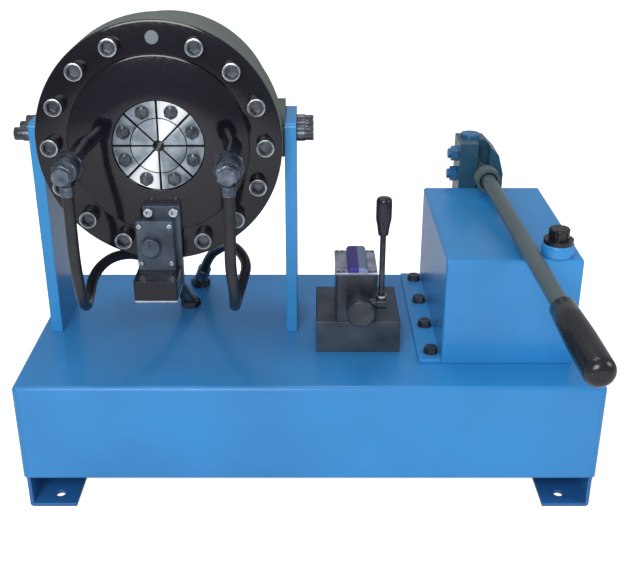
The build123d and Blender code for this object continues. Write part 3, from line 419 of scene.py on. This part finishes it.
FLANGE_SCREW_CIRCLE_R = 142
COVER_SCREW_CIRCLE_R = 124
LOW_POSITION, TOP_POSITION = 4, 12
positions = [index for index in range(16) if index not in (LOW_POSITION, TOP_POSITION)]
turns = [index * math.pi / 8 for index in positions]
face_screws = on_ring(FLANGE_SCREW_CIRCLE_R, HEAD_Y, turns)
# Rings 4 to 6 of each head, its rim chamfer, take bright steel as a painted highlight; the cover
# and side screws below do the same.
skin("face_screw_heads", turned(cap_screw(24, 16, 14, 16, 3), face_screws, (0, -1, 0), 48),
     black_steel, "machine", "flange_screws", bands=[(4, 6, bright_steel_and_rim_highlight)])
turns = [(index + 0.5) * math.pi / 4 for index in range(8)]
cover_screws = on_ring(COVER_SCREW_CIRCLE_R, COVER_END, turns)
skin("cover_screw_heads", turned(cap_screw(18, 12, 10, 12, 3), cover_screws, (0, 1, 0), 48),
     black_steel, "machine", "rear_cover_screws", bands=[(4, 6, bright_steel_and_rim_highlight)])
SIDE_SCREW_Y = (182, 214, 246)
side_screws = [on_head(side * 194, y, 0) for side in (-1, 1) for y in SIDE_SCREW_Y]
outward = [(side, 0, 0) for side in (-1, 1) for y in SIDE_SCREW_Y]
skin("side_screw_heads", turned(cap_screw(18, 12, 10, 12, 3), side_screws, outward, 48),
     black_steel, "machine", bands=[(4, 6, bright_steel_and_rim_highlight)])
side_collars = [on_head(side * 182, y, 0) for side in (-1, 1) for y in SIDE_SCREW_Y]
skin("side_screw_collars",
     turned([(0, 9.4), (0.6, 10), (11.4, 10), (12, 9.4)], side_collars, outward, 48), black_steel,
     "machine", "side_plate_screws")
plug_grey = sprayed("plug_grey", (0.16, 0.19, 0.22), shade=0.5, rough=(0.4, 0.6))
dress("flange_plug", plug_grey)

# ---------------------------------------------------------------- dies and shoes
# Eight shoes slide in the head's cone and close on the hose fitting. Each holds one ground die
# against its curved seat with a dark hexagon screw, and a slot 2 mm wide parts it from the next.
die_steel, nodes, principled = shader("ground_die_steel", (0.55, 0.57, 0.58), Metallic=0.9)
where = mottle(nodes, principled, (0.12, 0.15, 0.18), (0.4, 0.45, 0.5), 35)
brushed = grain(nodes, principled, where, 300, 0.0004, (1, 1, 14))
die_nodes = (nodes, principled, where)
vary_roughness(nodes, principled, brushed, 0.3, 0.46)
shoe_steel, nodes, principled = shader("ground_shoe_steel", (0.5, 0.52, 0.53), Metallic=0.9)
where = mottle(nodes, principled, (0.1, 0.13, 0.16), (0.36, 0.41, 0.46), 45)
brushed = grain(nodes, principled, where, 260, 0.0004, (14, 1, 1))
shoe_nodes = (nodes, principled, where)
vary_roughness(nodes, principled, brushed, 0.34, 0.5)
bolt_steel, nodes, principled = shader("dark_bolt_steel", (0.16, 0.18, 0.19), Metallic=0.9)
where = mottle(nodes, principled, (0.03, 0.035, 0.042), (0.12, 0.135, 0.155), 120)
vary_roughness(nodes, principled, grain(nodes, principled, where, 800, 0.0002), 0.3, 0.45)


def paint_highlight_wedge(nodes, principled, where, bright, turn):
    """Painted highlight: the base colour rises to bright with cos(2 (angle - turn)), where angle is
    taken about the die axis, so the ground faces look lit along one line through that axis."""
    def step(operation, first, second=None):
        node = nodes.nodes.new("ShaderNodeMath")
        node.operation = operation
        for socket, value in zip(node.inputs, (first, second)):
            if isinstance(value, (int, float)):
                socket.default_value = value
            elif value is not None:
                nodes.links.new(value, socket)
        return node.outputs[0]
    axis = on_head(0, 0, 0)
    place = nodes.nodes.new("ShaderNodeSeparateXYZ")
    nodes.links.new(where.outputs["Object"], place.inputs[0])
    rise = step("SUBTRACT", place.outputs["Z"], axis[2])
    run = step("SUBTRACT", place.outputs["X"], axis[0])
    angle = step("ARCTAN2", rise, run)
    wave = step("COSINE", step("MULTIPLY", step("SUBTRACT", angle, turn), 2.0))
    spread = nodes.nodes.new("ShaderNodeMapRange")
    spread.inputs["From Min"].default_value = 0.45
    nodes.links.new(wave, spread.inputs["Value"])
    mix = nodes.nodes.new("ShaderNodeMix")
    mix.data_type = "RGBA"
    mix.inputs["B"].default_value = (*bright, 1)
    nodes.links.new(spread.outputs["Result"], mix.inputs["Factor"])
    nodes.links.new(principled.inputs["Base Color"].links[0].from_socket, mix.inputs["A"])
    nodes.links.new(mix.outputs["Result"], principled.inputs["Base Color"])


# The chamfer round the front face of each die and shoe is near black, darker than the ground steel.
near_black_chamfer, nodes, principled = shader("near_black_chamfer_steel", (0.01, 0.011, 0.013), Metallic=0.3)
where = mottle(nodes, principled, (0.008, 0.009, 0.011), (0.03, 0.032, 0.036), 90)
vary_roughness(nodes, principled, grain(nodes, principled, where, 600, 0.0002), 0.3, 0.5)
# Painted highlight: the dies and shoes are coloured brighter along the line through the die axis at
# 67.5 degrees and its opposite.
for parts in (die_nodes, shoe_nodes):
    paint_highlight_wedge(*parts, (0.93, 0.95, 0.97), math.radians(67.5))
HALF = math.pi / 8


def sector(inner, outer, gap, y, flat=False, turn=0.0, steps=16):
    """A closed outline about the die axis at depth y: out along one flank, across the outside,
    back along the other flank and in along the inner arc. A flank is a line at half a gap from
    the plane between two shoes; a flat outside stands at the distance outer from the axis."""
    def arc(radius):
        reach = HALF - np.arcsin(gap / 2 / radius)
        return np.stack([np.full(steps, radius), np.linspace(-reach, reach, steps)], -1)
    outside = arc(outer)
    if flat:
        outside[:, 0] = outer / np.cos(outside[:, 1])
    inside = arc(inner)[::-1]
    radius, angle = np.concatenate([outside, inside]).T
    angle = angle + turn
    return np.array([on_head(r * math.cos(a), y, -r * math.sin(a)) for r, a in zip(radius, angle)])


DIE_Y = 124
BOLT_R = 49.2
SHOE_BOLT = [(-2, 5), (0, 5), (0, 9.3), (0.5, 9.3), (0.7, 8, 6), (5.4, 8, 6), (6.4, 7.1, 12),
             (6.4, 1)]
for number in range(1, 9):
    turn = HALF + (number - 1) * math.pi / 4
    body = f"die_shoe_{number}"
    shoe = [sector(38.1, 60.4, 3.2, DIE_Y, turn=turn), sector(37.5, 61, 2, 124.6, turn=turn),
            sector(37.5, 62.8, 2, 131.8, turn=turn), sector(37.5, 63, 2, 132, True, turn),
            sector(37.5, 79, 2, 196, True, turn)]
    skin(f"shoe_body_{number}", shoe, shoe_steel, body, body,
         bands=[(0, 1, near_black_chamfer)])
    die = [sector(7.8, 36.7, 2.6, DIE_Y, turn=turn), sector(7.1, 37.4, 1.2, 124.7, turn=turn),
           sector(7.1, 37.4, 1.2, 195.6, turn=turn), sector(7.6, 37, 1.8, 196, turn=turn)]
    skin(f"die_body_{number}", die, die_steel, body, f"die_{number}",
         bands=[(0, 1, near_black_chamfer)])
    seat = on_ring(BOLT_R, DIE_Y, [turn])
    skin(f"shoe_bolt_{number}", turned(SHOE_BOLT, seat, (0, -1, 0), 48), bolt_steel, body)

plain_steel, nodes, principled = shader("plain_ground_steel", (0.4, 0.43, 0.47), Metallic=0.9)
where = mottle(nodes, principled, (0.16, 0.18, 0.2), (0.42, 0.46, 0.5), 35)
vary_roughness(nodes, principled, grain(nodes, principled, where, 300, 0.0003, edge=0.001),
               0.3, 0.46)
dress("ram", plain_steel)
dress("ram_seal", hose_rubber)

# ---------------------------------------------------------------- ports and hose ends
# A steel pipe with a collar comes forward from each side of the head. A hollow hexagon bolt holds
# a ring fitting against the collar, and the ring's ferrule holds the hose. The lower ends of the
# hoses have ferrules too, which lean out of hexagon nuts on the base.
dark_fitting, nodes, principled = shader("dark_fitting_steel", (0.1, 0.12, 0.15), Metallic=0.9)
where = mottle(nodes, principled, (0.05, 0.065, 0.085), (0.17, 0.2, 0.25), 70)
vary_roughness(nodes, principled, grain(nodes, principled, where, 500, 0.0003), 0.26, 0.42)
pipe_black, nodes, principled = shader("pipe_blackened_steel", (0.02, 0.025, 0.035), Metallic=0.7)
where = mottle(nodes, principled, (0.015, 0.018, 0.026), (0.05, 0.06, 0.08), 40)
vary_roughness(nodes, principled, grain(nodes, principled, where, 500, 0.0003), 0.18, 0.32)

PORT_X = 100
PIPE_END = 28
BANJO_T = 18


def on_ports(y):
    """Both ports' places at depth y."""
    return [on_head(side * PORT_X, y, 0) for side in (-1, 1)]


PIPE = [(0, 11), (86, 11), (86, 19.5), (87, 20.5), (93, 20.5), (94, 19.5), (94, 8)]
skin("port_pipe_pair", turned(PIPE, on_ports(BOSS_Y), (0, -1, 0), 72), pipe_black, "machine",
     "port_pipes")
RING = [(0, 14.4), (0.6, 15), (17.4, 15), (18, 14.4)]
skin("banjo_rings", turned(RING, on_ports(PIPE_END), (0, -1, 0), 72), dark_fitting, "machine",
     "banjo_fittings")
FERRULE = [(6, 6.5), (19, 6.5), (19, 8.2), (19.6, 8.8), (24, 8.8), (24.4, 8.3), (25.6, 8.3),
           (26, 8.8), (28, 8.8), (28.4, 8.3), (29.6, 8.3), (30, 8.8), (32.4, 8.8), (33, 8.2)]
skin("banjo_ferrules", turned(FERRULE, on_ports(PIPE_END - BANJO_T / 2), (0, 0, -1), 60),
     dark_fitting, "machine")
BOLT = [(0, 11.3), (0.6, 12, 6), (13.4, 12, 6), (14, 11.2), (14, 11), (19.2, 11), (20, 10.2)]
skin("banjo_bolt_heads", turned(BOLT, on_ports(PIPE_END - BANJO_T), (0, -1, 0), 60), dark_fitting,
     "machine", "banjo_bolts")
HOSE_ENDS = [(-186, 254), (-178, 330)]
nuts = [on_base(*end, 0) for end in HOSE_ENDS]
NUT = [(0, 13.5, 6), (9.2, 13.5, 6), (10, 12.8), (10, 6)]
skin("base_nuts", turned(NUT, nuts, (0, 0, 1), 60), pipe_black, "machine")
feet = [on_base(*end, 8) for end in HOSE_ENDS]
leans = [(-0.480, -0.250, 0.841), (0.281, -0.461, 0.842)]
FOOT = [(0, 9.6), (1, 10.5), (10, 10.5), (10.5, 9.9), (12, 9.9), (12.5, 10.5), (16, 10.5),
        (16.5, 9.9), (18, 9.9), (18.5, 10.5), (33, 10.5), (34, 9.6)]
skin("base_ferrules", turned(FOOT, feet, leans, 60), dark_fitting, "machine",
     "base_hose_ends")

# ---------------------------------------------------------------- crimp stop
# A flat bracket on the head's face carries a machined block with a round setting knob, in
# slate-grey steel with small bright screws. The black box below them has a bright lower lip.
slate, nodes, principled = shader("stop_slate_steel", (0.05, 0.07, 0.11), Metallic=0.5)
where = mottle(nodes, principled, (0.03, 0.042, 0.062), (0.075, 0.1, 0.14), 35)
vary_roughness(nodes, principled, grain(nodes, principled, where, 420, 0.0003, edge=0.0015),
               0.3, 0.46)


def tone_past(nodes, principled, where, axis, level, tone, inner=None):
    """Beyond level along an axis in Object coordinates the colour is tone, or past inner's own
    (axis, level, tone) that second tone."""
    place = nodes.nodes.new("ShaderNodeSeparateXYZ")
    nodes.links.new(where.outputs["Object"], place.inputs[0])

    def test(axis, level):
        node = nodes.nodes.new("ShaderNodeMath")
        node.operation = "GREATER_THAN"
        node.inputs[1].default_value = level
        nodes.links.new(place.outputs[axis], node.inputs[0])
        return node.outputs[0]

    def mix(factor, low, high):
        node = nodes.nodes.new("ShaderNodeMix")
        node.data_type = "RGBA"
        nodes.links.new(factor, node.inputs["Factor"])
        for socket, value in (("A", low), ("B", high)):
            if isinstance(value, tuple):
                node.inputs[socket].default_value = (*value, 1)
            else:
                nodes.links.new(value, node.inputs[socket])
        return node.outputs["Result"]
    if inner:
        tone = mix(test(*inner[:2]), tone, inner[2])
    plain = principled.inputs["Base Color"].links[0].from_socket
    nodes.links.new(mix(test(axis, level), plain, tone), principled.inputs["Base Color"])


BOX_LIP_Z = 102.4
box_black, nodes, principled = shader("stop_box_black", (0.012, 0.012, 0.017),
                                      Specular_IOR_Level=0.25)
where = mottle(nodes, principled, (0.3, 0.32, 0.35), (0.45, 0.48, 0.52), 80)
vary_roughness(nodes, principled, grain(nodes, principled, where, 420, 0.0002, edge=0.001),
               0.2, 0.34)
tone_past(nodes, principled, where, "Z", on_base(0, 0, BOX_LIP_Z)[2], (0.011, 0.011, 0.016))
small_steel, nodes, principled = shader("small_screw_steel", (0.4, 0.43, 0.47), Metallic=1.0)
where = mottle(nodes, principled, (0.24, 0.27, 0.31), (0.55, 0.58, 0.62), 200)
vary_roughness(nodes, principled, grain(nodes, principled, where, 900, 0.0002, edge=0.0006),
               0.24, 0.38)
for node in ("stop_bracket", "stop_block", "stop_knob"):
    dress(node, slate)
dress("stop_box", box_black)
dress("stop_screws", small_steel)

# ---------------------------------------------------------------- valve and its lever
# A valve body stands on a steel block and has a round end cap with the lever's shaft through it.
# A bright plate with a violet and grey-blue ridge covers it. The lever's black knob has a flat top.
valve_slate, nodes, principled = shader("valve_block_phosphate", (0.03, 0.04, 0.055), Metallic=0.3)
where = mottle(nodes, principled, (0.022, 0.03, 0.042), (0.05, 0.065, 0.09), 30)
vary_roughness(nodes, principled, grain(nodes, principled, where, 380, 0.0004, edge=0.002),
               0.36, 0.52)
valve_dark, nodes, principled = shader("valve_body_black", (0.02, 0.024, 0.034), Metallic=0.3)
where = mottle(nodes, principled, (0.014, 0.017, 0.024), (0.034, 0.042, 0.058), 45)
vary_roughness(nodes, principled, grain(nodes, principled, where, 380, 0.0004, edge=0.002),
               0.26, 0.4)
dress("valve_manifold", valve_slate)
for node in ("valve_body", "valve_end_cap"):
    dress(node, valve_dark)

RIDGE_Z = 123.4
RIDGE_SPLIT_X = 68
cover, nodes, principled = shader("valve_cover", (0.3, 0.33, 0.42), Metallic=0.85)
where = mottle(nodes, principled, (0.2, 0.22, 0.3), (0.46, 0.49, 0.58), 60)
vary_roughness(nodes, principled, grain(nodes, principled, where, 420, 0.0003, (1, 12, 1), 0.002),
               0.26, 0.4)
tone_past(nodes, principled, where, "Z", on_base(0, 0, RIDGE_Z)[2], (0.06, 0.04, 0.26),
          ("X", on_base(RIDGE_SPLIT_X, 0, 0)[0], (0.2, 0.25, 0.42)))
dress("valve_plate", cover)
dress("valve_spool", plain_steel)
dress("valve_lever", pipe_black)

knob_black, nodes, principled = shader("black_moulded_plastic", (0.008, 0.009, 0.012),
                                       Coat_Weight=0.3, Coat_Roughness=0.05,
                                       Specular_IOR_Level=0.25)
where = mottle(nodes, principled, (0.006, 0.007, 0.009), (0.012, 0.013, 0.017), 25)
vary_roughness(nodes, principled, grain(nodes, principled, where, 300, 0.0001), 0.22, 0.36)
LEVER = (98.05, 80)
KNOB = [(0, 6.3), (0.8, 7), (8, 7.8), (16, 9), (21, 10.2), (25, 10.5), (46, 10.5), (49, 10.2),
        (51, 9.3), (52, 7.8)]
skin("lever_pear_knob", turned(KNOB, on_base(*LEVER, 188), (0, 0, 1), 64), knob_black,
     "valve_lever", "lever_knob", smooth=45)

COLLAR = [(0, 7.4), (0.5, 8), (3, 8), (3.5, 7.4)]
skin("lever_collar", turned(COLLAR, on_base(*LEVER, 97.3), (0, 0, 1), 48), bright_steel_and_rim_highlight,
     "valve_lever")
plate_screws = [on_base(x, y, 122.6) for x in (40, 47, 84, 90) for y in (105, 177)]
skin("valve_plate_screws", turned([(0, 2.3), (1, 2.3), (1.3, 1.9)], plate_screws, (0, 0, 1), 24),
     black_steel, "machine")

# ---------------------------------------------------------------- tank, filler neck and cap
# The oil tank is folded and welded from sheet steel, and one turned-out flange is screwed to the
# base. A short neck near the front corner carries the black breather cap.
tank_blue = sprayed("tank_enamel", (0.024, 0.225, 0.54), edge=0.004)
dress("tank_shell", tank_blue)
dress("tank_screws", black_steel)
NECK = [(0, 21.5), (15.8, 21.5), (16.6, 21.1), (17, 20.3), (17, 16.2), (2, 16.2)]
skin("filler_neck_tube", turned(NECK, on_base(334, 87, 157), (0, 0, 1), 80), tank_blue,
     "machine", "filler_neck")
dress("breather_cap", knob_black)

# ---------------------------------------------------------------- hand pump
# The pump's block sits against the back of the tank and has three plugs. Its lever swings on a
# pin: a socket holds a long steel tube, which has a thick black grip with a rounded end.
teal = sprayed("pump_teal_enamel", (0.016, 0.07, 0.12), edge=0.002, rough=(0.26, 0.4))
plug_blue = sprayed("pump_plug_blue", (0.02, 0.13, 0.3), edge=0.0015)
tube_green = sprayed("handle_grey_green", (0.07, 0.1, 0.105), edge=0.0, rough=(0.3, 0.45))
dress("pump_block", teal)
dress("pump_plugs", plug_blue)
dress("pump_socket", tube_green)
dress("pump_pin", small_steel)
dress("pump_plunger", small_steel)
SOCKET_FRONT = (276, 308, 185.5)
GRIP_START = (297.9, -95.4, 165.4)
AIM = (0.0541, -0.9973, -0.0496)
TUBE = [(-14, 10), (-13, 11), (424, 11), (425, 10)]
skin("handle_tube", turned(TUBE, on_base(*SOCKET_FRONT), AIM, 80), tube_green,
     "pump_lever", "pump_handle")
GRIP = [(0, 11.2), (0, 15.2), (0.8, 16), (38, 17.3), (75, 18.5), (137, 18.5)]
GRIP += [(137 + 13 * math.sin(t), 5.5 + 13 * math.cos(t))
         for t in np.linspace(0.15, math.pi / 2, 10)]
skin("handle_grip", turned(GRIP, on_base(*GRIP_START), AIM, 80), knob_black, "pump_lever",
     "pump_grip", smooth=45)
